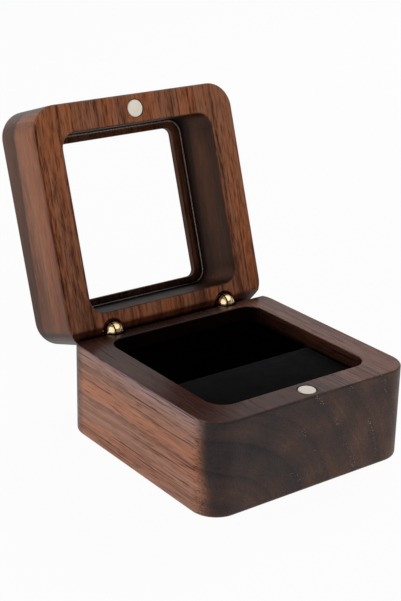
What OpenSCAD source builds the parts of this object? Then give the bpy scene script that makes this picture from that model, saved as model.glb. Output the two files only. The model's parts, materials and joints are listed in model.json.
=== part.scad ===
// Ring display box: a walnut base and a windowed lid, each milled from one
// block, joined by two brass ball-head barrel hinges and held shut by magnets.
// Origin: middle of the underside. +Z up, the front faces -Y, the hinges are
// at +Y. The lid is drawn standing open against its stop.

/* [Box] */
// Width of the box, side to side
box_w = 60; // [50:1:90]
// Depth of the box, front to back
box_d = 60; // [50:1:90]
// Height of the base block
base_h = 23.8; // [18:0.2:40]
// Height of the lid block
lid_h = 18; // [15:0.5:30]
// Wall between the outside and the hollow, in the base and in the lid
wall = 7.4; // [6:0.1:9]
// Radius of the upright outer corners
corner_r = 6.8; // [4:0.2:12]
// Rounding of the underside's edge
foot_edge_r = 1; // [0.5:0.1:2]
// Rounding of the lid's outer edge
lid_edge_r = 1.5; // [0.5:0.1:3]
// Rounding of the outer edges where the lid meets the base
rim_edge_r = 0.5; // [0.2:0.1:1]
// Bevel that breaks the edges of the hollows and of the window
inner_break = 0.35; // [0.1:0.05:0.6]

/* [Base hollow] */
// Floor under the hollow
floor_t = 4; // [2:0.5:8]
// Upright corners of the base's hollow
hollow_r = 4.5; // [2:0.5:8]

/* [Lid window] */
// Upright corners of the lid's hollow
lid_hollow_r = 4; // [2.5:0.5:8]
// Thickness of the lip that carries the pane
lip_t = 2; // [1.2:0.1:3]
// Width of the lip, from the hollow's wall to the window
lip_w = 2.2; // [1.2:0.1:4]
// Corners of the window
window_r = 2; // [1:0.5:5]
// Thickness of the clear pane
pane_t = 1.5; // [1:0.1:3]
// Play between the pane's edge and the hollow's wall
pane_gap = 0.2; // [0.1:0.05:0.5]

/* [Hinges] */
// How far the lid opens, from shut to its stop
open_angle = 108; // [95:1:112]
// Height between base and lid when shut
seam = 0.1; // [0.05:0.05:0.3]
// Hinge pin's distance from the back face
hinge_back = 2.5; // [2.4:0.1:3.2]
// Hinge axis's distance from each side face
hinge_inset = 12.5; // [10:0.5:18]
// Diameter of the barrels that are glued into the wood
barrel_d = 4; // [3:0.1:4.2]
// Length of each barrel in its bore
barrel_len = 10; // [6:0.5:11]
// Diameter of the ball head
ball_d = 4.8; // [4.2:0.1:5.2]
// Thickness of the tongue in the middle of the ball
tongue_t = 1.4; // [1:0.1:2]
// Play between the tongue and each ear
tongue_gap = 0.3; // [0.1:0.05:0.3]
// Diameter of the hinge pin
pin_d = 1.2; // [0.8:0.1:1.5]
// Play round the pin in the tongue
pin_gap = 0.05; // [0.02:0.01:0.1]
// Play round the ball in its recess
ball_gap = 0.35; // [0.15:0.05:0.4]
// How far ahead of the pin the back bevels start
bevel_lead = 1.5; // [0.8:0.1:2]
// Room left between the bevels' edges when they meet
stop_gap = 0.04; // [0.02:0.01:0.1]
// Glue round a barrel in its bore
glue_gap = 0.05; // [0.02:0.01:0.1]

/* [Magnets] */
// Diameter of the disc magnets
magnet_d = 4.4; // [3:0.1:5]
// Thickness of the disc magnets
magnet_t = 2; // [1:0.5:4]
// Play round a magnet in its pocket
magnet_gap = 0.2; // [0.05:0.05:0.3]

/* [Insert] */
// Depth of the pads' tops below the rim
pad_drop = 3.2; // [2:0.1:8]
// Width of the slot that grips the ring
slot_w = 0.8; // [0.6:0.1:2.5]
// Thickness of the velvet
velvet_t = 0.6; // [0.4:0.1:0.8]
// Thickness of the board under the pads
card_t = 1.2; // [0.8:0.1:2]
// Play between the insert and the wood
pad_gap = 0.3; // [0.2:0.05:0.6]
// Rounding of the pads' top edges
pad_edge_r = 1; // [0.9:0.1:1.1]
// Upright corners of the pads at the slot
pad_corner_r = 1.3; // [1.2:0.1:3]

/* [Hidden] */
$fn = 96;
slack = 1;                                      // how far a cutter runs past a face

hollow_w = box_w - 2 * wall;
hollow_d = box_d - 2 * wall;
window_w = hollow_w - 2 * lip_w;
window_d = hollow_d - 2 * lip_w;

hinge_x = box_w / 2 - hinge_inset;
pivot_y = box_d / 2 - hinge_back;
pivot_z = base_h + seam / 2;
ball_r = ball_d / 2;
barrel_r = barrel_d / 2;
shoulder_gap = 0.05;                            // between the barrels' shoulders at the stop
neck_gap = 0.4;                                 // from the ball to either barrel's shoulder
neck_w = 0.8 * barrel_d;                        // the necks' width, front to back
shoulder = max(ball_r + neck_gap, barrel_r * tan(open_angle / 2) + shoulder_gap);
slot_floor = ball_r + 0.6 * neck_gap;           // depth of the fork's slot below the pin
fork_slot_w = tongue_t + 2 * tongue_gap;
groove_w = 0.6;                                 // glue grooves round a barrel
groove_t = 0.2;
groove_count = 3;
barrel_tip = 0.4;                               // bevel at a barrel's end
bore_rest = 0.3;                                // room for glue below a barrel
bevel_w = hinge_back + bevel_lead;              // from the back face to the bevel's start
bevel_h = hinge_back * tan(open_angle / 2) - seam / 2 + stop_gap;

magnet_y = -box_d / 2 + wall / 2;
magnet_break = 0.2;

insert_w = hollow_w - 2 * pad_gap;
insert_d = hollow_d - 2 * pad_gap;
insert_r = hollow_r - pad_gap;
pad_d = (insert_d - slot_w) / 2;
pad_y = (insert_d - pad_d) / 2;
pad_h = base_h - floor_t - card_t - pad_drop;

walnut = [0.36, 0.22, 0.15];
brass = [0.85, 0.68, 0.32];
nickel = [0.85, 0.83, 0.78];
velvet = [0.05, 0.05, 0.055];
foam = [0.2, 0.2, 0.2];
card = [0.45, 0.42, 0.38];
clear = [0.8, 0.9, 0.95, 0.35];

// Section of a block's outer band: a rectangle with its two outer edges rounded.
module edge_section(w, h, top_r, bottom_r) {
    difference() {
        square([w, h]);
        if (top_r > 0)
            translate([w - top_r, h - top_r]) difference() {
                square(top_r + slack);
                circle(top_r);
            }
        if (bottom_r > 0)
            translate([w - bottom_r, bottom_r]) mirror([0, 1]) difference() {
                square(bottom_r + slack);
                circle(bottom_r);
            }
    }
}

// Block w by d by h, centred, standing on z = 0, with upright corners of front_r
// and back_r, and rounded edges round its top and bottom. Corners are turned,
// sides are straight bars and the middle is a prism, all face to face.
module rounded_block(w, d, h, front_r, back_r, top_r, bottom_r) {
    band = max(top_r, bottom_r);
    module corner(x, y, r, turn)
        translate([x, y, 0]) rotate(turn) rotate_extrude(angle = 90)
            edge_section(r, h, top_r, bottom_r);
    module bar(x, y, turn, length)
        translate([x, y, 0]) rotate(turn) rotate([90, 0, 0])
            linear_extrude(length) edge_section(band, h, top_r, bottom_r);
    corner(w / 2 - back_r, d / 2 - back_r, back_r, 0);
    corner(back_r - w / 2, d / 2 - back_r, back_r, 90);
    corner(front_r - w / 2, front_r - d / 2, front_r, 180);
    corner(w / 2 - front_r, front_r - d / 2, front_r, 270);
    bar(w / 2 - band, d / 2 - back_r, 0, d - front_r - back_r);
    bar(band - w / 2, front_r - d / 2, 180, d - front_r - back_r);
    bar(back_r - w / 2, d / 2 - band, 90, w - 2 * back_r);
    bar(w / 2 - front_r, band - d / 2, 270, w - 2 * front_r);
    linear_extrude(h) polygon([
        [w / 2 - back_r, d / 2 - band], [w / 2 - back_r, d / 2 - back_r],
        [w / 2 - band, d / 2 - back_r], [w / 2 - band, front_r - d / 2],
        [w / 2 - front_r, front_r - d / 2], [w / 2 - front_r, band - d / 2],
        [front_r - w / 2, band - d / 2], [front_r - w / 2, front_r - d / 2],
        [band - w / 2, front_r - d / 2], [band - w / 2, d / 2 - back_r],
        [back_r - w / 2, d / 2 - back_r], [back_r - w / 2, d / 2 - band]]);
}

// Outline of a rectangle with round corners, as a union of true arcs.
module rounded_outline(w, d, r) {
    square([w, d - 2 * r], center = true);
    square([w - 2 * r, d], center = true);
    for (x = [-1, 1], y = [-1, 1])
        translate([x * (w / 2 - r), y * (d / 2 - r)]) circle(r);
}

// Cutter for a hollow that opens upwards at z = 0, with its edge broken by a bevel.
module hollow_cutter(w, d, r, depth, bevel) {
    translate([0, 0, -depth]) linear_extrude(depth + slack) rounded_outline(w, d, r);
    bevel_cutter(w, d, r, bevel);
}

// Bevel round a hollow's mouth at z = 0: four turned corners and four straight wedges.
module bevel_cutter(w, d, r, bevel) {
    module wedge()
        polygon([[0, -bevel], [bevel, 0], [bevel, slack], [-r / 2, slack], [-r / 2, -bevel]]);
    for (turn = [0 : 90 : 270]) {
        across = turn % 180 == 0 ? w : d;
        along = turn % 180 == 0 ? d : w;
        rotate(turn) {
            translate([across / 2, along / 2 - r, 0]) rotate([90, 0, 0])
                linear_extrude(along - 2 * r) wedge();
            translate([across / 2 - r, along / 2 - r, 0]) rotate_extrude(angle = 90)
                translate([r, 0]) wedge();
        }
    }
}

// Bores for both hinges, below a mating face at z = 0: ball recess, then barrel bore.
module hinge_bores() {
    for (side = [-1, 1]) translate([side * hinge_x, pivot_y, 0]) {
        translate([0, 0, -shoulder + seam / 2]) cylinder(r = ball_r + ball_gap, h = shoulder + slack);
        translate([0, 0, -shoulder - barrel_len - bore_rest])
            cylinder(r = barrel_r + glue_gap, h = shoulder + barrel_len + bore_rest);
    }
}

// Pocket for the magnet, below a mating face at z = 0.
module magnet_pocket()
    translate([0, magnet_y, -magnet_t]) cylinder(d = magnet_d + 2 * magnet_gap, h = magnet_t + slack);

// Wedge cut off the back edge below a mating face at z = 0. The two bevels' lower
// edges meet when the lid is open, and are its stop.
module back_bevel()
    translate([-box_w / 2 - slack, 0, 0]) rotate([90, 0, 90]) linear_extrude(box_w + 2 * slack)
        polygon([
            [box_d / 2 - bevel_w, 0],
            [box_d / 2 + slack, -bevel_h * (bevel_w + slack) / bevel_w],
            [box_d / 2 + slack, slack],
            [box_d / 2 - bevel_w, slack]]);

// Puts what is drawn on a shut lid, with its mating face at z = 0, where the open lid is.
module on_open_lid()
    translate([0, pivot_y, pivot_z]) rotate([-open_angle, 0, 0])
        translate([0, -pivot_y, seam / 2]) children();

// Turns what is drawn below a mating face over, for the lid.
module face_up() mirror([0, 0, 1]) children();

module base_box()
    color(walnut) difference() {
        rounded_block(box_w, box_d, base_h, corner_r, corner_r, rim_edge_r, foot_edge_r);
        translate([0, 0, base_h]) {
            hollow_cutter(hollow_w, hollow_d, hollow_r, base_h - floor_t, inner_break);
            hinge_bores();
            magnet_pocket();
            back_bevel();
        }
    }

module lid_frame()
    color(walnut) on_open_lid() difference() {
        rounded_block(box_w, box_d, lid_h, corner_r, corner_r, lid_edge_r, rim_edge_r);
        face_up() {
            hollow_cutter(hollow_w, hollow_d, lid_hollow_r, lid_h - lip_t, inner_break);
            hinge_bores();
            magnet_pocket();
            back_bevel();
        }
        translate([0, 0, lid_h]) hollow_cutter(window_w, window_d, window_r, lip_t + slack, inner_break);
    }

module window_pane()
    color(clear) on_open_lid() translate([0, 0, lid_h - lip_t - pane_t]) linear_extrude(pane_t)
        rounded_outline(hollow_w - 2 * pane_gap, hollow_d - 2 * pane_gap, lid_hollow_r - pane_gap);

// Disc magnet whose face lies at z = 0, with a small bevel round both edges.
module magnet()
    color(nickel) translate([0, magnet_y, -magnet_t]) rotate_extrude() polygon([
        [0, 0], [magnet_d / 2 - magnet_break, 0], [magnet_d / 2, magnet_break],
        [magnet_d / 2, magnet_t - magnet_break], [magnet_d / 2 - magnet_break, magnet_t],
        [0, magnet_t]]);

module base_magnet() translate([0, 0, base_h]) magnet();
module lid_magnet() on_open_lid() face_up() magnet();

// Barrel below z = 0: a turned rod with glue grooves and a bevelled end.
module barrel()
    rotate_extrude() difference() {
        polygon([
            [0, 0], [barrel_r, 0], [barrel_r, barrel_tip - barrel_len],
            [barrel_r - barrel_tip, -barrel_len], [0, -barrel_len]]);
        for (i = [1 : groove_count])
            translate([barrel_r - groove_t, -i * barrel_len / (groove_count + 1) - groove_w / 2])
                square([slack, groove_w]);
    }

// Lower half of a hinge, with the pin's middle at the origin: a ball split into
// two ears, on a neck and a barrel.
module hinge_fork()
    color(brass) difference() {
        union() {
            sphere(ball_r);
            intersection() {
                translate([0, 0, -shoulder]) cylinder(r = barrel_r, h = shoulder);
                translate([-barrel_r, -neck_w / 2, -shoulder]) cube([barrel_d, neck_w, shoulder]);
            }
            translate([0, 0, -shoulder]) barrel();
        }
        translate([-fork_slot_w / 2, -ball_d, -slot_floor])
            cube([fork_slot_w, 2 * ball_d, slot_floor + ball_d]);
        rotate([0, 90, 0]) cylinder(d = pin_d, h = 2 * ball_d, center = true);
    }

// Upper half of a hinge, with the pin's middle at the origin: a flat tongue cut
// from the same ball, on a neck and a barrel.
module hinge_tongue()
    color(brass) difference() {
        union() {
            intersection() {
                sphere(ball_r);
                cube([tongue_t, 2 * ball_d, 2 * ball_d], center = true);
            }
            translate([-tongue_t / 2, -neck_w / 2, 0]) cube([tongue_t, neck_w, shoulder]);
            translate([0, 0, shoulder]) face_up() barrel();
        }
        rotate([0, 90, 0]) cylinder(d = pin_d + 2 * pin_gap, h = 2 * ball_d, center = true);
    }

module hinge_pin()
    color(brass) rotate([0, 90, 0])
        cylinder(d = pin_d, h = 2 * sqrt(pow(ball_r, 2) - pow(pin_d / 2, 2)), center = true);

module at_hinge(side) translate([side * hinge_x, pivot_y, pivot_z]) children();
module at_open_hinge(side) at_hinge(side) rotate([-open_angle, 0, 0]) children();

module left_hinge_fork() at_hinge(-1) hinge_fork();
module right_hinge_fork() at_hinge(1) hinge_fork();
module left_hinge_pin() at_hinge(-1) hinge_pin();
module right_hinge_pin() at_hinge(1) hinge_pin();
module left_hinge_tongue() at_open_hinge(-1) hinge_tongue();
module right_hinge_tongue() at_open_hinge(1) hinge_tongue();

module insert_card()
    color(card) translate([0, 0, floor_t]) linear_extrude(card_t)
        rounded_outline(insert_w, insert_d, insert_r);

// One pad of the insert, standing on the card with its slot face towards +Y.
module on_card() translate([0, -pad_y, floor_t + card_t]) children();

module foam_block()
    color(foam) on_card()
        rounded_block(insert_w - 2 * velvet_t, pad_d - 2 * velvet_t, pad_h - velvet_t,
            insert_r - velvet_t, pad_corner_r - velvet_t, pad_edge_r - velvet_t, 0);

// Velvet drawn over the foam: closed on top and round the sides, open below.
module velvet_cover()
    color(velvet) difference() {
        on_card() rounded_block(insert_w, pad_d, pad_h, insert_r, pad_corner_r, pad_edge_r, 0);
        foam_block();
    }

module front_foam() foam_block();
module rear_foam() rotate(180) foam_block();
module front_velvet() velvet_cover();
module rear_velvet() rotate(180) velvet_cover();

base_box();
base_magnet();
left_hinge_fork();
right_hinge_fork();
left_hinge_pin();
right_hinge_pin();
insert_card();
front_foam();
rear_foam();
front_velvet();
rear_velvet();
lid_frame();
window_pane();
lid_magnet();
left_hinge_tongue();
right_hinge_tongue();
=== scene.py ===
import json
import math

import bpy
import numpy as np
from mathutils import Matrix, Vector


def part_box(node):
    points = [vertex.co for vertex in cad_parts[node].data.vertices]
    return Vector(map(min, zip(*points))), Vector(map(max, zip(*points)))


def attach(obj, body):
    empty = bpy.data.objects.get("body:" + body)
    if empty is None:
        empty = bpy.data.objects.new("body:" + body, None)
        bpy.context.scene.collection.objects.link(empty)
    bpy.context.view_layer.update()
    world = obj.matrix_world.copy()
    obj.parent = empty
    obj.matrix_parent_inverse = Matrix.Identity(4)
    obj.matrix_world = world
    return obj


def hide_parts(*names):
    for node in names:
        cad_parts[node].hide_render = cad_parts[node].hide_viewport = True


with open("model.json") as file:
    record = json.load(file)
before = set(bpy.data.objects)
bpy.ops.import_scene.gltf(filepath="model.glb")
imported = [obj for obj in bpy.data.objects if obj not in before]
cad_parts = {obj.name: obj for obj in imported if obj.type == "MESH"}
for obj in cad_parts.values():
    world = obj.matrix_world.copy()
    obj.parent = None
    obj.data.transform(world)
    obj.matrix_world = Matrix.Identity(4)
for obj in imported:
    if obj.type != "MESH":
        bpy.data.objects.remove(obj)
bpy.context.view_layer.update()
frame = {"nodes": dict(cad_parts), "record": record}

nodes = frame["nodes"]
mm = 0.001


def lidTurn():
    # how far the lid stands open, in degrees: the hinge's whole range, since rest is its lower limit
    hinge = [joint for joint in frame["record"]["behaviour"]["joints"] if joint["type"] == "hinge"][0]
    return hinge["range_deg"][1], Vector(hinge["pos_m"])


openAngle, pivot = lidTurn()
print("frame loaded, lid open by", openAngle)


class Signal:
    # one output of a node, usable in arithmetic: every operator adds a Math node
    def __init__(self, finish, socket):
        self.finish, self.socket = finish, socket

    def math(self, operation, *others):
        inputs = dict(enumerate((self,) + others))
        return self.finish.add("ShaderNodeMath", {"operation": operation}, inputs)

    def __add__(self, other):
        return self.math("ADD", other)

    def __sub__(self, other):
        return self.math("SUBTRACT", other)

    def __mul__(self, other):
        return self.math("MULTIPLY", other)

    def __truediv__(self, other):
        return self.math("DIVIDE", other)

    def __neg__(self):
        return self * -1

    def __rsub__(self, other):
        return -self + other

    __radd__ = __add__
    __rmul__ = __mul__


class Finish:
    # a new material, or the world given as owner, while its nodes are being put together
    def __init__(self, name, owner=None):
        self.owner = owner or bpy.data.materials.new(name)
        self.owner.use_nodes = True
        self.tree = self.owner.node_tree
        self.tree.nodes.clear()

    def add(self, kind, settings=None, inputs=None, output=0):
        # adds one node: its settings first, then a value or a link for each named socket
        node = self.tree.nodes.new(kind)
        for key, value in (settings or {}).items():
            if key == "stops":
                fillRamp(node.color_ramp, value)
            else:
                setattr(node, key, value)
        for key, value in (inputs or {}).items():
            if isinstance(value, Signal):
                self.tree.links.new(value.socket, node.inputs[key])
            else:
                node.inputs[key].default_value = value
        return Signal(self, node.outputs[output]) if len(node.outputs) else node

    def coordinates(self, kind="Object"):
        return self.add("ShaderNodeTexCoord", output=kind)

    def placeInMm(self):
        return self.times(self.coordinates(), (1 / mm,) * 3)

    def placed(self, vector, location=(0, 0, 0), rotation=(0, 0, 0), scale=(1, 1, 1), kind="POINT"):
        inputs = {"Vector": vector, "Rotation": rotation, "Scale": scale}
        if kind == "POINT":
            inputs["Location"] = location
        return self.add("ShaderNodeMapping", {"vector_type": kind}, inputs)

    def times(self, vector, factors):
        return self.add("ShaderNodeVectorMath", {"operation": "MULTIPLY"}, {0: vector, 1: factors})

    def plus(self, vector, other):
        return self.add("ShaderNodeVectorMath", {"operation": "ADD"}, {0: vector, 1: other})

    def dot(self, vector, other):
        return self.add("ShaderNodeVectorMath", {"operation": "DOT_PRODUCT"}, {0: vector, 1: other}, 1)

    def part(self, vector, axis):
        return self.add("ShaderNodeSeparateXYZ", inputs={0: vector}, output=axis)

    def noise(self, vector, scale=1, detail=2, roughness=0.5, output=0):
        inputs = {"Vector": vector, "Scale": scale, "Detail": detail, "Roughness": roughness}
        return self.add("ShaderNodeTexNoise", {"noise_dimensions": "3D"}, inputs, output)

    def noiseAlong(self, signal, scale, detail, roughness):
        inputs = {"W": signal, "Scale": scale, "Detail": detail, "Roughness": roughness}
        return self.add("ShaderNodeTexNoise", {"noise_dimensions": "1D"}, inputs)

    def cells(self, vector, scale=1, output=0):
        settings = {"voronoi_dimensions": "3D", "feature": "F1"}
        return self.add("ShaderNodeTexVoronoi", settings, {"Vector": vector, "Scale": scale}, output)

    def step(self, signal, low, high):
        # rises smoothly from 0 at low to 1 at high
        return self.add("ShaderNodeMapRange", {"interpolation_type": "SMOOTHSTEP", "clamp": True},
                        {"Value": signal, "From Min": low, "From Max": high})

    def ramp(self, signal, stops):
        return self.add("ShaderNodeValToRGB", {"stops": stops}, {"Fac": signal})

    def mix(self, factor, first, second, blend="MIX"):
        settings = {"data_type": "RGBA", "blend_type": blend, "clamp_factor": True}
        return self.add("ShaderNodeMix", settings, {0: factor, 6: first, 7: second}, 2)

    def ray(self, kind):
        # 1 for rays of that kind, and 0 for others
        return self.add("ShaderNodeLightPath", output=kind)

    def bump(self, height, distance, strength):
        return self.add("ShaderNodeBump", inputs={
            "Height": height, "Distance": distance, "Strength": strength})

    def principled(self, inputs):
        return self.add("ShaderNodeBsdfPrincipled", inputs=inputs)

    def blend(self, factor, first, second):
        return self.add("ShaderNodeMixShader", inputs={0: factor, 1: first, 2: second})

    def done(self, shader):
        self.add("ShaderNodeOutputMaterial", inputs={"Surface": shader})
        return self.owner


def fillRamp(ramp, stops):
    # stops are (position, colour or grey level)
    while len(ramp.elements) < len(stops):
        ramp.elements.new(0.5)
    for element, (position, colour) in zip(ramp.elements, stops):
        element.position = position
        element.color = colour if isinstance(colour, tuple) else (colour, colour, colour, 1)


def rgb(red, green, blue):
    return (red, green, blue, 1)


def dress(names, material):
    # puts a finish on CAD nodes
    for name in names:
        for place in nodes[name].material_slots:
            place.material = material


walnutTones = {
    "deep": rgb(0.035, 0.012, 0.006),
    "dark": rgb(0.110, 0.042, 0.022),
    "middle": rgb(0.200, 0.084, 0.046),
    "light": rgb(0.300, 0.138, 0.080),
    "endDeep": rgb(0.007, 0.004, 0.0035),
    "endDark": rgb(0.018, 0.011, 0.010),
    "endMiddle": rgb(0.034, 0.017, 0.012),
    "endLight": rgb(0.075, 0.036, 0.022),
    "fleck": rgb(0.19, 0.14, 0.11),         # pale dust in the pores of a cut end
    # the colour is multiplied by one of the rest:
    "pore": rgb(0.10, 0.08, 0.07),          # in an open pore,
    "paintedShadeTone": rgb(0.16, 0.11, 0.09),         # painted shade, in the hollow, at the back and in the hinge's bores,
    "rim": rgb(0.40, 0.21, 0.17),           # painted shade on the rim's top,
    "rimSheen": rgb(1.60, 1.36, 1.26),          # painted sheen, where the rim's top is paler,
    "side": rgb(0.82, 0.93, 1.02),          # on a quieter side,
    "warm": rgb(1.10, 0.98, 0.86),          # and in warmer and cooler stripes
    "cool": rgb(0.92, 0.98, 1.08),
}
walnutWaves = {
    # patterns of noise: cycles per mm across the fibres and along them, detail and roughness
    "swirl": (0.030, 0.010, 1.5, 0.5),      # these two push the rings about
    "ripple": (0.16, 0.018, 2, 0.5),
    "cloud": (0.16, 0.020, 3, 0.5),
    "mottle": (1.6, 0.26, 4, 0.6),
    "warmth": (0.13, 0.012, 2, 0.5),
    "bloom": (0.10, 0.06, 3, 0.55),         # clouds and grit of a cut end
    "grit": (2.6, 1.2, 2, 0.5),
    "crowd": (0.34, 0.022, 2, 0.5),         # where pores come in groups
    "dust": (0.16, 0.1, 2, 0.5),            # where dust lies in them
}
walnutGrain = {
    "ringShades": [(0.0, 0.62), (0.22, 0.95), (0.62, 0.55), (0.90, 0.12), (0.975, 0.02), (1.0, 0.60)],
    "ringMean": 0.55,
    "lines": (0.75, 4, 0.62),               # thin rings: cycles per mm, detail and roughness
    "fibre": (4, 0.66),                     # detail and roughness
    "bend": (0.5, 0.05), "bendBy": (0.5, 4.0, 0.5),     # how the pores' rows are bent, in mm
    "porePlaces": [(0.0, 0.45), (0.30, 0.20), (0.75, 0.05), (1.0, 0.45)],   # crowding over a ring
    "shortPores": (2.9, 0.150, 0.17, 0.31, 1.03), "shortDepth": 0.8,
    "poreSoftness": 0.1, "endPores": 0.5,   # how much fainter pores are on a cut end
    "fleckRing": (0.76, 0.90), "fleckPatch": (-0.06, 0.0), "fleckFrom": (-12.0, -2.0),
    "fleckCells": (2.3, 0.2), "fleckSize": (0.16, 0.36), "fleckChance": (0.30, 0.60),
    "nearPith": (19.0, 27.0), "atPith": (7.0, 17.0),    # distances from the pith, in mm
    "sideways": (0.6, 0.95), "upright": (0.75, 0.98),   # how squarely a face has to look that way
    "faceTone": 0.54,
    "faceStops": [(0.16, "deep"), (0.36, "dark"), (0.54, "middle"), (0.82, "light")],
    "warmth": (-0.12, 0.12),
    "layerWave": 2.0, "rimWave": 12,        # how far the clouds push these borders about, in mm
    "endStops": [(0.12, "endDeep"), (0.38, "endDark"), (0.62, "endMiddle"), (0.95, "endLight")],
}
cutEndTone = {                              # what each pattern adds to the tone of a cut end
    "start": 0.53, "slope": 0.0082,         # per mm along X
    "near": 0.16, "nearer": 0.30,
    "ring": 0.24, "lines": 0.28, "bloom": 1.05, "mottle": 0.40, "grit": 0.22,
}
walnutShine = {
    "rough": 0.38, "smoothRim": 0.16, "roughPore": 0.25, "smoothTone": 0.08, "roughEnd": 0.08,
    "specular": 0.23, "mattRough": 0.9, "mattSpecular": 0.02,
    "fibreHeight": 0.5, "flatRim": 0.7, "bump": 0.03, "bumpStrength": 0.6,      # bump in mm
}
baseBlock = {
    "pith": (-31.0, -11.0),                 # the rings' middle, X and Z, in mm
    "ringWidth": 7.9, "ringStart": 1.2, "wander": 5.0, "ripple": 1.2,       # in mm
    "ringDepth": 0.14, "lineDepth": 0.42, "cloudDepth": 0.28, "mottle": 0.25,
    "fibre": 0.95, "fibreCut": (3.0, 0.075),            # cycles per mm across and along
    "hingeShade": 0.0,                         # painted shade, per mm towards the back
    "pores": 0.80,                          # how crowded the open pores are, in groups,
    "clusters": 3.4, "upperPores": 0.30,    # and in the upper layer
    "longPores": (1.8, 0.024, 0.13, 0.30, 1.10),        # cells per mm across and along, size, chance
    "seed": (3.0, 11.0, 5.0),
    "layer": (14.0, 22.0), "layerSlope": 0.0,           # heights where the wood turns to its upper layer
    "layerTone": rgb(0.80, 1.05, 1.52),     # which the colour is multiplied by
    "hollow": 22.6, "corner": 4.5,          # the milled hollow's half width and corner radius, in mm
    # painted shade in the hollow, on its wall at the hinge and deep in the lid's hollow; and how much of
    # it is left off behind the pane and at the hinge's wall
    "paintedShade": 1.0, "wallShade": 0.85, "deepShade": 0.0, "lipUnshaded": 0.0, "hingeUnshaded": 0.0,
    # painted shade towards the back, between these distances in mm
    "rear": (21.6, 25.1), "rearShade": 0.75,
    # painted shade on the rim's top, fading out between these X in mm, and painted sheen towards the right
    "rimShadeAndSheen": 0.88, "rimFades": (-4.0, 14.0),
    "calm": 0.0, "hingeCalm": 0.0,          # how much quieter the sides and the hinge's rail are
    "matt": 1.0, "sideMatt": 0.0, "rimMatt": 0.33,
    "cutEnd": 1.0, "endFrom": (0.03, 0.60), "lowTurn": 0.20,
    "tint": rgb(1.0, 1.0, 1.04),
}
lidBlock = {
    "pith": (-234.5, 40.0),
    "ringWidth": 6.7, "ringStart": 2.0, "wander": 4.0, "ripple": 1.2,
    "ringDepth": 0.20, "lineDepth": 1.05, "cloudDepth": 0.60, "mottle": 1.3,
    "fibre": 0.80, "fibreCut": (2.6, 0.16),
    "hingeShade": 0.004,
    "pores": 0.85,
    "clusters": 1.5, "upperPores": 0.0,
    "longPores": (2.2, 0.042, 0.13, 0.25, 1.14),
    "seed": (41.0, 7.0, 23.0),
    "layer": (34.9, 35.9), "layerSlope": 0.067,
    "layerTone": rgb(0.36, 0.365, 0.39),
    "hollow": 22.6, "corner": 4.0,
    "paintedShade": 0.72, "wallShade": 0.0, "deepShade": 0.85, "lipUnshaded": 0.55, "hingeUnshaded": 0.35,
    "rear": (25.3, 26.6), "rearShade": 0.90,
    "rimShadeAndSheen": 0.0, "rimFades": (0.0, 1.0),
    "calm": 0.65, "hingeCalm": 0.45,
    "matt": 0.55, "sideMatt": 0.25, "rimMatt": 0.0,
    "cutEnd": 0.85, "endFrom": (0.60, 0.98), "lowTurn": 0.0,
    "tint": rgb(0.88, 0.74, 0.62),
}
hingeSpot = {                               # one hinge's middle, and how far its bores reach, in mm
    "x": 17.5, "y": 27.5, "z": 23.85,
    "ball": (3.0, 3.4), "barrel": (2.15, 2.30), "depth": (12.8, 13.0),
}
woodPlaces = {                              # in mm, in the shut box
    "hollowEdge": (0.05, 0.40),
    "lip": (39.95, 40.05), "lipWidth": 2.2,             # where the hollow narrows to the window
    "pane": (38.6, 39.6),
    "deep": (31.0, 37.5),                   # the upper half of the lid's hollow
    "hingeWall": (18.0, 22.0), "hingeRail": (14.0, 22.0),
    "low": (3.0, 15.0),
    # where the painted sheen on the rim's top begins
    "rimSheenFrom": (2.0, 20.0),
}


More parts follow.
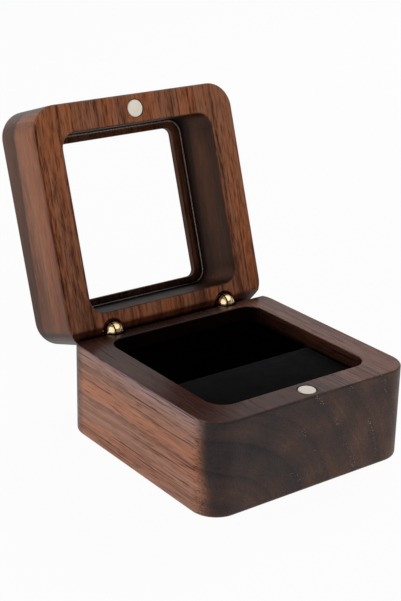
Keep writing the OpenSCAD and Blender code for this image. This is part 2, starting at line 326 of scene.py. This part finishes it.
class Walnut(Finish):
    # a block of walnut with its fibres along Y; one that is turned open is worked out as if shut
    def __init__(self, name, block, turned):
        super().__init__(name)
        self.block = block
        turn = (math.radians(openAngle if turned else 0), 0, 0)
        shift = pivot - Matrix.Rotation(turn[0], 3, "X") @ pivot
        place = self.placed(
            self.coordinates(), location=tuple(shift / mm), rotation=turn, scale=(1 / mm,) * 3)
        facing = self.placed(self.coordinates("Normal"), rotation=turn, kind="VECTOR")
        self.grain = self.plus(place, block["seed"])
        self.x, self.y, self.z = (self.part(place, axis) for axis in "XYZ")
        sideways, endways, upright = (self.part(facing, axis).math("ABSOLUTE") for axis in "XYZ")
        self.side = self.step(sideways, *walnutGrain["sideways"])
        self.up = self.step(upright, *walnutGrain["upright"])
        low = (1 - self.step(self.z, *woodPlaces["low"])) * block["lowTurn"]
        self.end = self.step(endways - low, *block["endFrom"]) * block["cutEnd"]
        hingeCalm = self.step(self.y, *woodPlaces["hingeRail"]) * block["hingeCalm"]
        self.calm = (1 - self.side * block["calm"]) * (1 - hingeCalm)

    def along(self, across, length):
        return self.times(self.grain, (across, length, across))

    def wave(self, name):
        # noise round 0
        across, length, detail, roughness = walnutWaves[name]
        return self.noise(self.along(across, length), detail=detail, roughness=roughness) - 0.5

    def shade(self, factor, colour, tone):
        # the colour multiplied by the tone, as far as factor says
        return self.mix(factor, colour, self.mix(1.0, colour, tone, "MULTIPLY"))

    def findRings(self):
        # the distance from the pith line, pushed about by slow noise, and how far through its ring
        # a point is
        fromX = self.x - self.block["pith"][0]
        fromZ = self.z - self.block["pith"][1]
        pushed = self.wave("swirl") * self.block["wander"] + self.wave("ripple") * self.block["ripple"]
        self.radius = (fromX * fromX + fromZ * fromZ).math("SQRT") + pushed
        self.phase = ((self.radius + self.block["ringStart"]) / self.block["ringWidth"]).math("FRACT")
        self.ring = self.ramp(self.phase, walnutGrain["ringShades"]) - walnutGrain["ringMean"]
        self.lines = self.noiseAlong(self.radius, *walnutGrain["lines"]) - 0.5

    def longGrain(self):
        # the colour of a face along the fibres: rings, fibres, clouds, a mottled figure and two layers
        block, tones = self.block, walnutTones
        detail, roughness = walnutGrain["fibre"]
        fibre = self.noise(self.along(*block["fibreCut"]), detail=detail, roughness=roughness) - 0.5
        self.fibre = fibre * self.calm
        self.cloud = self.wave("cloud")
        self.mottle = self.wave("mottle") * self.calm
        # the tone also drops towards the back: painted shade, where the base shades the open lid
        self.tone = (walnutGrain["faceTone"] + self.ring * block["ringDepth"]
                     + self.lines * self.calm * block["lineDepth"] + self.fibre * block["fibre"]
                     + self.cloud * block["cloudDepth"] + self.mottle * block["mottle"]
                     - self.y * block["hingeShade"])
        colour = self.ramp(self.tone, [(place, tones[key]) for place, key in walnutGrain["faceStops"]])
        warmth = self.step(self.wave("warmth"), *walnutGrain["warmth"])
        colour = self.mix(1.0, colour, self.mix(warmth, tones["cool"], tones["warm"]), "MULTIPLY")
        border = self.z + self.cloud * walnutGrain["layerWave"] - self.y * block["layerSlope"]
        self.upper = self.step(border, *block["layer"])
        colour = self.shade(self.upper, colour, block["layerTone"])
        return self.shade(self.side * block["calm"], colour, tones["side"])

    def endGrain(self):
        # the colour of a cut end: darker, cloudy, and showing the rings only faintly
        patterns = {
            "near": 1 - self.step(self.radius, *walnutGrain["nearPith"]),
            "nearer": 1 - self.step(self.radius, *walnutGrain["atPith"]),
            "ring": self.ring, "lines": self.lines, "mottle": self.mottle,
            "bloom": self.wave("bloom"), "grit": self.wave("grit")}
        tone = cutEndTone["start"] + self.x * cutEndTone["slope"]
        for key, pattern in patterns.items():
            tone = tone + pattern * cutEndTone[key]
        return self.ramp(tone, [(place, walnutTones[key]) for place, key in walnutGrain["endStops"]])

    def openPores(self, colour):
        # thin dark dashes, or dots on a cut end, crowded where a ring begins; and pale dust in some
        block, grain = self.block, walnutGrain
        bend = self.noise(self.along(*grain["bend"]), output=1)
        bent = self.plus(self.grain, self.times(bend, grain["bendBy"]))
        crowd = self.ramp(self.phase, grain["porePlaces"]) + self.wave("crowd") * block["clusters"]
        crowd = crowd + block["pores"] + self.upper * block["upperPores"]

        def pores(across, length, low, high, gate):
            field = self.times(bent, (across, length, across))
            chance = self.part(self.cells(field, output=1), "X")
            kept = self.step(chance + crowd, gate, gate + grain["poreSoftness"])
            return (1 - self.step(self.cells(field), low, high)) * kept

        shortPores = pores(*grain["shortPores"]) * grain["shortDepth"]
        self.pore = pores(*block["longPores"]).math("MAXIMUM", shortPores) * self.calm
        colour = self.shade(self.pore * (1 - self.end * grain["endPores"]), colour, walnutTones["pore"])
        field = self.along(*grain["fleckCells"])
        chance = self.part(self.cells(field, output=1), "X")
        fleck = (1 - self.step(self.cells(field), *grain["fleckSize"]))
        fleck = fleck * self.step(chance, *grain["fleckChance"])
        fleck = fleck * self.step(self.wave("dust"), *grain["fleckPatch"])
        fleck = fleck * self.step(self.phase, *grain["fleckRing"])
        fleck = fleck * self.step(self.x, *grain["fleckFrom"])
        return self.mix(self.end * fleck, colour, walnutTones["fleck"])

    def findBores(self):
        # the space round each hinge: a ball at its middle, and a cylinder above and below
        fromX = self.x.math("ABSOLUTE") - hingeSpot["x"]
        fromY = self.y - hingeSpot["y"]
        fromZ = self.z - hingeSpot["z"]
        across = fromX * fromX + fromY * fromY
        ball = 1 - self.step((across + fromZ * fromZ).math("SQRT"), *hingeSpot["ball"])
        barrel = 1 - self.step(across.math("SQRT"), *hingeSpot["barrel"])
        barrel = barrel * (1 - self.step(fromZ.math("ABSOLUTE"), *hingeSpot["depth"]))
        self.bore = ball.math("MAXIMUM", barrel)

    def findHollow(self):
        # the milled hollow: how far outside a square with round corners a point is, in mm
        core = self.block["hollow"] - self.block["corner"]
        pastX = (self.x.math("ABSOLUTE") - core).math("MAXIMUM", 0)
        pastY = (self.y.math("ABSOLUTE") - core).math("MAXIMUM", 0)
        outside = (pastX * pastX + pastY * pastY).math("SQRT") - self.block["corner"]
        behindLip = self.step(self.z, *woodPlaces["lip"]) * woodPlaces["lipWidth"]
        self.inside = 1 - self.step(outside + behindLip, *woodPlaces["hollowEdge"])

    def paintedShadeAndSheen(self, colour):
        # the rim's top: painted shade towards the left and painted sheen towards the right; and painted
        # shade in the hollow, on the hinge's bevels and in its bores
        block, tones, places = self.block, walnutTones, woodPlaces
        border = self.x + self.cloud * walnutGrain["rimWave"]
        rimShading = block["rimShadeAndSheen"] * (1 - self.step(border, *block["rimFades"]))
        colour = self.shade(self.up * rimShading, colour, tones["rim"])
        rimSheen = self.up * self.step(self.x, *places["rimSheenFrom"]) * block["rimShadeAndSheen"]
        colour = self.shade(rimSheen, colour, tones["rimSheen"])
        behindPane = self.step(self.z, *places["pane"])
        atHinge = self.step(self.y, *places["hingeWall"])
        # less painted shade behind the pane and at the hinge's wall
        shadeKept = (1 - behindPane * block["lipUnshaded"]) * (1 - atHinge * block["hingeUnshaded"])
        rear = self.step(self.y, *block["rear"]) * block["rearShade"]
        paintedShade = (self.inside * block["paintedShade"] * shadeKept).math("MAXIMUM", rear).math("MAXIMUM", self.bore)
        wallShade = self.inside * atHinge * block["wallShade"]
        deep = self.step(self.z, *places["deep"]) * (1 - behindPane)
        deepShade = self.inside * deep * block["deepShade"]
        for amount in (paintedShade, wallShade, deepShade):
            colour = self.shade(amount, colour, tones["paintedShadeTone"])
        return colour

    def finished(self):
        block, shine = self.block, walnutShine
        self.findRings()
        self.findBores()
        self.findHollow()
        colour = self.longGrain()
        colour = self.openPores(self.mix(self.end, colour, self.endGrain()))
        colour = self.paintedShadeAndSheen(self.mix(1.0, colour, block["tint"], "MULTIPLY"))
        rough = (shine["rough"] - self.up * shine["smoothRim"] + self.pore * shine["roughPore"]
                 - (self.tone - 0.5) * shine["smoothTone"] + self.end * shine["roughEnd"])
        height = (self.fibre * shine["fibreHeight"] - self.pore) * (1 - self.up * shine["flatRim"])
        normal = self.bump(height, shine["bump"] * mm, shine["bumpStrength"])
        surface = {"Base Color": colour, "Normal": normal}
        polished = self.principled({
            **surface, "Roughness": rough, "Specular IOR Level": shine["specular"]})
        matt = self.principled({
            **surface, "Roughness": shine["mattRough"], "Specular IOR Level": shine["mattSpecular"]})
        hidden = (self.inside * block["matt"]).math("MAXIMUM", self.bore)
        hidden = hidden.math("MAXIMUM", self.side * block["sideMatt"])
        hidden = hidden.math("MAXIMUM", self.up * block["rimMatt"])
        return self.done(self.blend(hidden, polished, matt))


dress(["base_box"], Walnut("walnutBase", baseBlock, False).finished())
dress(["lid_frame"], Walnut("walnutLid", lidBlock, True).finished())
print("walnut done")


brassLook = {
    "clean": rgb(0.83, 0.65, 0.38), "tarnished": rgb(0.66, 0.46, 0.23), "tarnish": (0.35, 0.75),
    # painted shade on the walls of the slot, which are also rougher
    "slotShade": rgb(0.035, 0.018, 0.008), "slotRough": 0.4,
    "slot": (1.05, 1.15),                   # the slot's half width, in mm
    "slotFacing": (0.985, 0.998),
    "clouds": 0.9, "turning": (2.5, 14.0, 14.0),        # cycles per mm
    "rough": 0.09, "cloudRough": 0.08, "turningRough": 0.04,
    "bump": 0.004, "bumpStrength": 0.4,
}


def brass():
    # turned and polished brass: faint turning marks, a little tarnish, and painted shade on the walls of
    # the slot
    metal, look = Finish("polishedBrass"), brassLook
    place = metal.placeInMm()
    cloud = metal.noise(place, scale=look["clouds"], detail=3)
    turning = metal.noise(metal.times(place, look["turning"]), detail=2)
    colour = metal.mix(metal.step(cloud, *look["tarnish"]), look["clean"], look["tarnished"])
    flat = metal.step(metal.part(metal.coordinates("Normal"), "X").math("ABSOLUTE"), *look["slotFacing"])
    middle = metal.part(place, "X").math("ABSOLUTE") - hingeSpot["x"]
    slot = flat * (1 - metal.step(middle.math("ABSOLUTE"), *look["slot"]))
    rough = (look["rough"] + cloud * look["cloudRough"] + turning * look["turningRough"]
             + slot * look["slotRough"])
    return metal.done(metal.principled({
        "Base Color": metal.mix(slot, colour, look["slotShade"]), "Metallic": 1.0, "Roughness": rough,
        "Normal": metal.bump(turning, look["bump"] * mm, look["bumpStrength"])}))


nickelLook = {
    "pale": rgb(0.98, 0.89, 0.76), "dull": rgb(0.90, 0.81, 0.68), "clouding": (0.3, 0.7),
    "clouds": 1.2, "specks": 9,             # cycles per mm
    "metallic": 0.25, "rough": 0.34, "speckRough": 0.18, "coat": 0.6, "coatRough": 0.2,
    "bump": 0.006, "bumpStrength": 0.5,
}


def nickel():
    # plated magnet: satin face with fine marks and a warm cast
    metal, look = Finish("nickelPlate"), nickelLook
    place = metal.placeInMm()
    cloud = metal.noise(place, scale=look["clouds"], detail=3)
    speck = metal.noise(place, scale=look["specks"], detail=2)
    return metal.done(metal.principled({
        "Base Color": metal.mix(metal.step(cloud, *look["clouding"]), look["pale"], look["dull"]),
        "Metallic": look["metallic"], "Roughness": look["rough"] + speck * look["speckRough"],
        "Coat Weight": look["coat"], "Coat Roughness": look["coatRough"],
        "Normal": metal.bump(speck, look["bump"] * mm, look["bumpStrength"])}))


dress(["left_hinge_fork", "right_hinge_fork", "left_hinge_pin", "right_hinge_pin",
       "left_hinge_tongue", "right_hinge_tongue"], brass())
dress(["base_magnet", "lid_magnet"], nickel())
print("metal done")


paneLook = {
    "rough": 0.01, "hazeRough": 0.02, "haze": 0.15,     # haze in cycles per mm
    "bending": 1.03,                        # low, so that the pane hardly mirrors
    "passing": rgb(0.93, 0.95, 0.945),
}


def clearPane():
    # polished clear sheet; light that has already been scattered or mirrored passes straight through,
    # so that the hollow below is lit evenly
    pane, look = Finish("clearPane"), paneLook
    haze = pane.noise(pane.placeInMm(), scale=look["haze"], detail=3)
    glass = pane.principled({
        "Base Color": rgb(1.0, 1.0, 1.0), "Roughness": look["rough"] + haze * look["hazeRough"],
        "IOR": look["bending"], "Transmission Weight": 1.0})
    scattered = pane.ray("Is Shadow Ray").math("MAXIMUM", pane.ray("Is Diffuse Ray"))
    mirrored = pane.ray("Is Glossy Ray") - pane.ray("Is Transmission Ray")
    passing = pane.add("ShaderNodeBsdfTransparent", inputs={"Color": look["passing"]})
    return pane.done(pane.blend(scattered.math("MAXIMUM", mirrored), glass, passing))


boardLook = {
    "dark": rgb(0.20, 0.18, 0.16), "pale": rgb(0.34, 0.31, 0.28), "rough": 0.9,
    "stretch": (1.0, 3.0, 3.0), "fibres": 1.6,          # cycles per mm
    "bump": 0.05, "bumpStrength": 0.6,
}


def board():
    # grey card with short paper fibres
    paper, look = Finish("greyBoard"), boardLook
    fibres = paper.noise(paper.times(paper.placeInMm(), look["stretch"]), scale=look["fibres"], detail=4)
    return paper.done(paper.principled({
        "Base Color": paper.mix(fibres, look["dark"], look["pale"]), "Roughness": look["rough"],
        "Normal": paper.bump(fibres, look["bump"] * mm, look["bumpStrength"])}))


foamLook = {
    "dark": rgb(0.04, 0.04, 0.045), "pale": rgb(0.16, 0.16, 0.17), "rough": 0.95,
    "cells": 2.2,                           # cells per mm
    "bump": 0.15, "bumpStrength": 0.7,
}


def foamRubber():
    # open-cell foam
    foam, look = Finish("greyFoam"), foamLook
    cell = foam.cells(foam.placeInMm(), scale=look["cells"])
    return foam.done(foam.principled({
        "Base Color": foam.mix(cell, look["dark"], look["pale"]), "Roughness": look["rough"],
        "Normal": foam.bump(cell, look["bump"] * mm, look["bumpStrength"])}))


dress(["window_pane"], clearPane())
dress(["insert_card"], board())
dress(["front_foam", "rear_foam"], foamRubber())
print("pane, board and foam done")


velvetLook = {
    "rough": 0.95, "sheenRough": 0.5, "sheenTint": rgb(0.8, 0.85, 1.0),
    "naps": 0.22, "nap": (0.3, 0.75),       # naps and tufts in cycles per mm
    "tufts": 5.5, "tuft": (0.45, 0.7), "tuftWeight": 0.5, "tuftGain": 2.0,
    "bump": 0.10, "bumpStrength": 0.6,
}
velvets = {
    # one pad each: the solid it stands for, and whether the slot is behind it (1) or in front (-1)
    "frontPad": {
        "material": "velvetFront", "node": "front_velvet", "slotSide": 1,
        "dark": (0.0042, 0.0042, 0.0045), "pale": (0.0088, 0.0088, 0.0092), "sheen": 0.02, "shine": 0.03},
    # the rear pad is the same velvet painted darker, with no sheen or shine: painted shade, as the lid
    # shades it
    "rearPad": {
        "material": "velvetRearShaded", "node": "rear_velvet", "slotSide": -1,
        "dark": (0.0002, 0.0002, 0.0002), "pale": (0.0005, 0.0005, 0.0005), "sheen": 0.0, "shine": 0.0},
}
padLook = {
    "grow": 10.0,            # the pad is blown up at this size, and brought back after
    "inset": 0.10,           # how much smaller it starts, in mm, as are the next eight
    "lift": 0.02,            # how far above its solid's underside it starts
    "margin": 0.01,          # how far inside its solid's box it stays
    "reach": 0.22,           # how far a point may move
    "held": 0.5,             # the height of the band at the bottom that is held
    "voxel": 0.52,
    "wallCorner": 4.1, "slotCorner": 0.6,
    "edge": 0.7,
    "grid": (90, 45, 30),    # points along X, Y and Z before the voxels
    "fill": 0.85,
}
clothLook = {
    "quality": 5, "mass": 0.3, "stretch": 12, "shear": 6, "bend": 0.6, "pressure": 4.0, "frames": 20,
}


def velvet(piece):
    # short cotton pile: clouds where it lies another way, and single tufts
    pile, look = Finish(piece["material"]), velvetLook
    place = pile.placeInMm()
    nap = pile.noise(place, scale=look["naps"], detail=3, roughness=0.6)
    tuft = pile.noise(place, scale=look["tufts"], detail=3, roughness=0.7)
    colour = pile.mix(pile.step(nap, *look["nap"]), rgb(*piece["dark"]), rgb(*piece["pale"]))
    bright = rgb(*(look["tuftGain"] * part for part in piece["pale"]))
    colour = pile.mix(pile.step(tuft, *look["tuft"]) * look["tuftWeight"], colour, bright)
    return pile.done(pile.principled({
        "Base Color": colour, "Roughness": look["rough"], "Specular IOR Level": piece["shine"],
        "Sheen Weight": piece["sheen"], "Sheen Roughness": look["sheenRough"],
        "Sheen Tint": look["sheenTint"],
        "Normal": pile.bump(tuft, look["bump"] * mm, look["bumpStrength"])}))


def roundedBlock(half, corners, edge, count):
    # a closed block on a cube's grid, with half sizes half: how far out a point lies, in the square
    # sense, is kept, and its outline turned from a square to one with round corners; close to the top
    # the outline shrinks by edge - sqrt(edge^2 - rise^2), rise being the height above the rounding's start
    grids, faces, total = [], [], 0
    for axis in range(3):
        a, b = [other for other in range(3) if other != axis]
        u, v = np.meshgrid(np.linspace(-1, 1, count[a]), np.linspace(-1, 1, count[b]), indexing="ij")
        for sign in (-1, 1):
            grid = np.empty(u.shape + (3,))
            grid[..., a], grid[..., b], grid[..., axis] = u * half[a], v * half[b], sign * half[axis]
            index = total + np.arange(u.size).reshape(u.shape)
            quad = np.stack([index[:-1, :-1], index[1:, :-1], index[1:, 1:], index[:-1, 1:]], -1)
            quad = quad.reshape(-1, 4)
            faces.append(quad if (sign > 0) != (axis == 1) else quad[:, ::-1])
            grids.append(grid.reshape(-1, 3))
            total += u.size
    points = np.concatenate(grids)
    rise = np.clip(points[:, 2] - (half[2] - edge), 0, edge)
    shrink = edge - np.sqrt(np.maximum(edge ** 2 - rise ** 2, 0))
    scale = 1 - shrink[:, None] / half[:2]
    flat = points[:, :2] * scale
    radius = np.where(points[:, 1] < 0, corners[0], corners[1])
    radius = np.maximum(radius - shrink, 0.05)
    core = half[:2] * scale - radius[:, None]
    away = flat - np.clip(flat, -core, core)
    length = np.maximum(np.linalg.norm(away, axis=1), 1e-9)
    square = np.abs(away).max(axis=1)
    points[:, :2] = flat - away * (1 - square / length)[:, None]
    return points, np.concatenate(faces)


def makeMesh(name, points, faces):
    mesh = bpy.data.meshes.new(name)
    mesh.from_pydata(points.tolist(), [], faces)
    mesh.update()
    piece = bpy.data.objects.new(name, mesh)
    bpy.context.scene.collection.objects.link(piece)
    return piece


def pointsOf(mesh):
    flat = np.empty(len(mesh.vertices) * 3)
    mesh.vertices.foreach_get("co", flat)
    return flat.reshape(-1, 3)


def workedIn(piece):
    # the piece's mesh with its modifiers worked in
    graph = bpy.context.evaluated_depsgraph_get()
    return bpy.data.meshes.new_from_object(piece.evaluated_get(graph))


def swell(piece, look):
    # blows the pad up as a cloth bag, its underside held down
    scene = bpy.context.scene
    before = pointsOf(piece.data)
    heldBelow = before[:, 2].min() + look["held"] * mm * look["grow"]
    held = piece.vertex_groups.new(name="held")
    held.add(np.nonzero(before[:, 2] < heldBelow)[0].tolist(), 1.0, "REPLACE")
    cloth = piece.modifiers.new("blown", "CLOTH")
    settings = cloth.settings
    settings.quality = clothLook["quality"]
    settings.mass = clothLook["mass"]
    settings.tension_stiffness = settings.compression_stiffness = clothLook["stretch"]
    settings.shear_stiffness = clothLook["shear"]
    settings.bending_stiffness = clothLook["bend"]
    settings.use_pressure = True
    settings.uniform_pressure_force = clothLook["pressure"]
    settings.effector_weights.gravity = 0
    settings.vertex_group_mass = "held"
    cloth.point_cache.frame_start, cloth.point_cache.frame_end = 1, clothLook["frames"]
    for number in range(1, clothLook["frames"] + 1):
        scene.frame_set(number)
    piece.data = workedIn(piece)
    piece.modifiers.clear()
    scene.frame_set(1)
    moved = pointsOf(piece.data) - before
    length = np.maximum(np.linalg.norm(moved, axis=1), 1e-12)
    limit = look["reach"] * mm * look["grow"]
    return before + moved * np.minimum(1, limit / length)[:, None]


def velvetPad(name, finish, node, slotSide):
    look = padLook
    lowest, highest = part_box(node)
    low, high = np.array(lowest) / mm, np.array(highest) / mm
    start = low + (look["inset"], look["inset"], look["lift"])
    stop = high - look["inset"]
    corners = (look["wallCorner"], look["slotCorner"])[::slotSide]
    points, faces = roundedBlock((stop - start) / 2, corners, look["edge"], look["grid"])
    points = (points + (start + stop) / 2) * mm * look["grow"]
    piece = makeMesh(name, points, faces.tolist())
    remesh = piece.modifiers.new("even", "REMESH")
    remesh.mode = "VOXEL"
    remesh.voxel_size = look["voxel"] * mm * look["grow"]
    piece.data = workedIn(piece)
    piece.modifiers.clear()
    final = swell(piece, look)
    final = np.clip(final / look["grow"], (low + look["margin"]) * mm, (high - look["margin"]) * mm)
    piece.data.vertices.foreach_set("co", final.ravel())
    piece.data.update()
    piece.vertex_groups.clear()
    smooth = piece.modifiers.new("smooth", "SUBSURF")
    smooth.levels = smooth.render_levels = 1
    piece.data.polygons.foreach_set("use_smooth", [True] * len(piece.data.polygons))
    piece.data.materials.append(finish)
    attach(piece, "base")
    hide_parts(node)
    print(name, len(piece.data.polygons), "faces")


rimLook = {
    "half": 22.36,           # from the middle to the pane's edge, in mm
    "corner": 3.76,          # radius of the pane's corners
    "level": 38.40,          # height of the pane's inner face in the shut lid
    "width": 0.34, "rise": 0.12,
    "arcSteps": 14, "sideSteps": 60, "profileSteps": 9,
    "sharpAngle": 60,
    "dark": rgb(0.055, 0.050, 0.046), "pale": rgb(0.11, 0.10, 0.095), "scratching": (0.3, 0.7),
    "scratches": 2.4,        # cycles per mm
    "rough": 0.22, "scratchRough": 0.1, "coat": 0.4, "coatRough": 0.1,
}


def roundedPath(half, corner, arcSteps, sideSteps):
    # anticlockwise round a square with round corners: points, and the directions that look outwards there
    starts = np.radians([-90, 0, 90, 180])
    points, outwards = [], []
    for start, signs in zip(starts, ((1, -1), (1, 1), (-1, 1), (-1, -1))):
        angle = start + np.linspace(0, math.pi / 2, arcSteps)
        outward = np.stack([np.cos(angle), np.sin(angle)], -1)
        arc = np.array(signs) * (half - corner) + outward * corner
        onward = np.array([-outward[-1, 1], outward[-1, 0]])
        run = np.linspace(0, 2 * (half - corner), sideSteps + 2)[1:-1, None]
        points += [arc, arc[-1] + onward * run]
        outwards += [outward, np.repeat(outward[-1:], sideSteps, axis=0)]
    return np.concatenate(points), np.concatenate(outwards)


def groundGlass():
    # the clear sheet where its edge was ground: greyer, and finely scratched
    glass, look = Finish("groundEdge"), rimLook
    scratch = glass.noise(glass.placeInMm(), scale=look["scratches"], detail=3)
    return glass.done(glass.principled({
        "Base Color": glass.mix(glass.step(scratch, *look["scratching"]), look["dark"], look["pale"]),
        "Roughness": look["rough"] + scratch * look["scratchRough"],
        "Coat Weight": look["coat"], "Coat Roughness": look["coatRough"]}))


def groundRim():
    # the pane's ground edge: a low half ellipse, width * (1 - cos(turn)) / 2 across and rise * sin(turn)
    # high, carried round the pane; drawn in the shut lid and turned open with it
    look = rimLook
    path, outward = roundedPath(look["half"], look["corner"], look["arcSteps"], look["sideSteps"])
    turn = np.linspace(0, math.pi, look["profileSteps"])
    inward = look["width"] * (1 - np.cos(turn)) / 2
    flat = path[:, None, :] - outward[:, None, :] * inward[None, :, None]
    height = np.repeat((look["level"] - look["rise"] * np.sin(turn))[None], len(path), axis=0)
    points = np.concatenate([flat, height[..., None]], -1).reshape(-1, 3) * mm
    opened = np.array(Matrix.Rotation(math.radians(-openAngle), 3, "X"))
    centre = np.array(pivot)
    points = (points - centre) @ opened.T + centre
    index = np.arange(len(points)).reshape(height.shape)
    right, down = np.roll(index, -1, axis=0), np.roll(index, -1, axis=1)
    both = np.roll(right, -1, axis=1)
    faces = np.stack([index, right, both, down], -1).reshape(-1, 4)
    piece = makeMesh("groundRim", points, faces.tolist())
    piece.data.polygons.foreach_set("use_smooth", [True] * len(faces))
    piece.data.set_sharp_from_angle(angle=math.radians(look["sharpAngle"]))
    piece.data.materials.append(groundGlass())
    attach(piece, "lid")
    print("groundRim", len(faces), "faces")


groundRim()
for padName, padPiece in velvets.items():
    velvetPad(padName, velvet(padPiece), padPiece["node"], padPiece["slotSide"])
print("pads done")


studio = {
    "floorSize": 1.6, "floorRings": 12, "floorTurns": 64,
    "floorGrey": rgb(0.86, 0.86, 0.86),
    "floorWhite": 0.96,      # how much of the floor's look is plain white to the camera
    "skyLight": 0.08,
    # what mirrors show: a direction, how near to it the panel starts and is full, and its strength
    "panels": [((0.6, 0.8, 0.0), -0.25, 0.35, 1.0),
               ((0.26, -0.34, 0.90), 0.80, 0.88, 1.5),
               ((-0.91, -0.29, 0.30), 0.70, 0.80, 1.4)],
    "roomGlow": 0.22,
}
cameraLook = {
    "place": (-192.26, -242.65, 156.96),    # in mm
    "yaw": -36.73, "pitch": -21.21, "roll": 1.16,
    "focal": 1387.89, "pictureHeight": 601,             # in picture points
    "sensor": 36, "clip": (0.01, 20),
}
lamps = {
    # place and target in metres, width, height, watts and colour
    "keyLeft": ((-0.58, 0.21, 0.06), (0, 0, 0.03), 0.26, 0.12, 3.7, (1.0, 0.985, 0.96)),
    "frontSoft": ((-0.06, -0.61, 0.12), (0, 0, 0.04), 0.34, 0.20, 2.9, (1.0, 1.0, 1.0)),
    "backRight": ((0.58, 0.24, 0.42), (0, 0, 0.03), 0.30, 0.30, 2.1, (1.0, 1.0, 1.0)),
}


def paleFloor():
    # plain white to the camera, in mirrors and through glass, and pale grey to light that illuminates
    floor = Finish("paleFloor")
    matt = floor.add("ShaderNodeBsdfDiffuse", inputs={"Color": studio["floorGrey"]})
    white = floor.add("ShaderNodeEmission", inputs={"Color": rgb(1, 1, 1), "Strength": 1.0})
    seen = floor.ray("Is Camera Ray").math("MAXIMUM", floor.ray("Is Glossy Ray"))
    seen = seen.math("MAXIMUM", floor.ray("Is Transmission Ray"))
    return floor.done(floor.blend(seen * studio["floorWhite"], matt, white))


def makeFloor():
    # a flat disc with its middle at the origin: rings of points at radius r and angle a
    rings, turns = studio["floorRings"], studio["floorTurns"]
    r, a = np.meshgrid(np.linspace(0.02, 1, rings) * studio["floorSize"],
                       np.linspace(0, 2 * math.pi, turns, endpoint=False), indexing="ij")
    points = np.stack([r * np.cos(a), r * np.sin(a), r * 0], -1).reshape(-1, 3)
    index = np.arange(rings * turns).reshape(rings, turns)
    after = np.roll(index, -1, axis=1)
    quads = np.stack([index[:-1], index[1:], after[1:], after[:-1]], -1).reshape(-1, 4)
    piece = makeMesh("floor", points, quads.tolist() + [index[0].tolist()])
    piece.data.materials.append(paleFloor())


def makeSky():
    world = bpy.data.worlds.new("studio")
    bpy.context.scene.world = world
    sky = Finish("studio", world)
    # the room that mirrors show: white behind the box, a bright panel overhead and one on the left
    direction = sky.coordinates("Generated")
    gloss = studio["roomGlow"]
    for towards, low, high, strength in studio["panels"]:
        nearness = sky.dot(direction, towards)
        gloss = (sky.step(nearness, low, high) * strength).math("MAXIMUM", gloss)
    direct = sky.ray("Is Camera Ray").math("MAXIMUM", sky.ray("Is Transmission Ray"))
    glossy = sky.ray("Is Glossy Ray")
    strength = direct + (1 - direct) * (glossy * gloss + (1 - glossy) * studio["skyLight"])
    background = sky.add("ShaderNodeBackground", inputs={"Color": rgb(1, 1, 1), "Strength": strength})
    sky.add("ShaderNodeOutputWorld", inputs={"Surface": background})


def softLamp(name, place, target, width, height, watts, colour):
    lamp = bpy.data.lights.new(name, "AREA")
    lamp.shape = "RECTANGLE"
    lamp.size, lamp.size_y = width, height
    lamp.energy = watts
    lamp.color = colour
    stand = bpy.data.objects.new(name, lamp)
    stand.location = place
    stand.rotation_euler = (Vector(target) - Vector(place)).to_track_quat("-Z", "Y").to_euler()
    stand.visible_glossy = False             # mirrors show the room's panels instead
    bpy.context.scene.collection.objects.link(stand)


def makeCamera():
    # right, up and forward directions from yaw, pitch and roll
    look = cameraLook
    yaw, pitch, roll = (math.radians(look[key]) for key in ("yaw", "pitch", "roll"))
    forward = Vector((-math.sin(yaw) * math.cos(pitch), math.cos(yaw) * math.cos(pitch), math.sin(pitch)))
    right = forward.cross(Vector((0, 0, 1))).normalized()
    up = right.cross(forward)
    across = right * math.cos(roll) + up * math.sin(roll)
    above = up * math.cos(roll) - right * math.sin(roll)
    data = bpy.data.cameras.new("camera")
    data.sensor_width = look["sensor"]
    data.lens = look["focal"] * look["sensor"] / look["pictureHeight"]
    data.clip_start, data.clip_end = look["clip"]
    camera = bpy.data.objects.new("camera", data)
    turn = Matrix((across, above, -forward)).transposed().to_4x4()
    camera.matrix_world = Matrix.Translation(Vector(look["place"]) * mm) @ turn
    bpy.context.scene.collection.objects.link(camera)
    bpy.context.scene.camera = camera


makeFloor()
makeSky()
for lampName, lampValues in lamps.items():
    softLamp(lampName, *lampValues)
makeCamera()
bpy.context.scene.view_settings.view_transform = "Standard"
print("studio done")
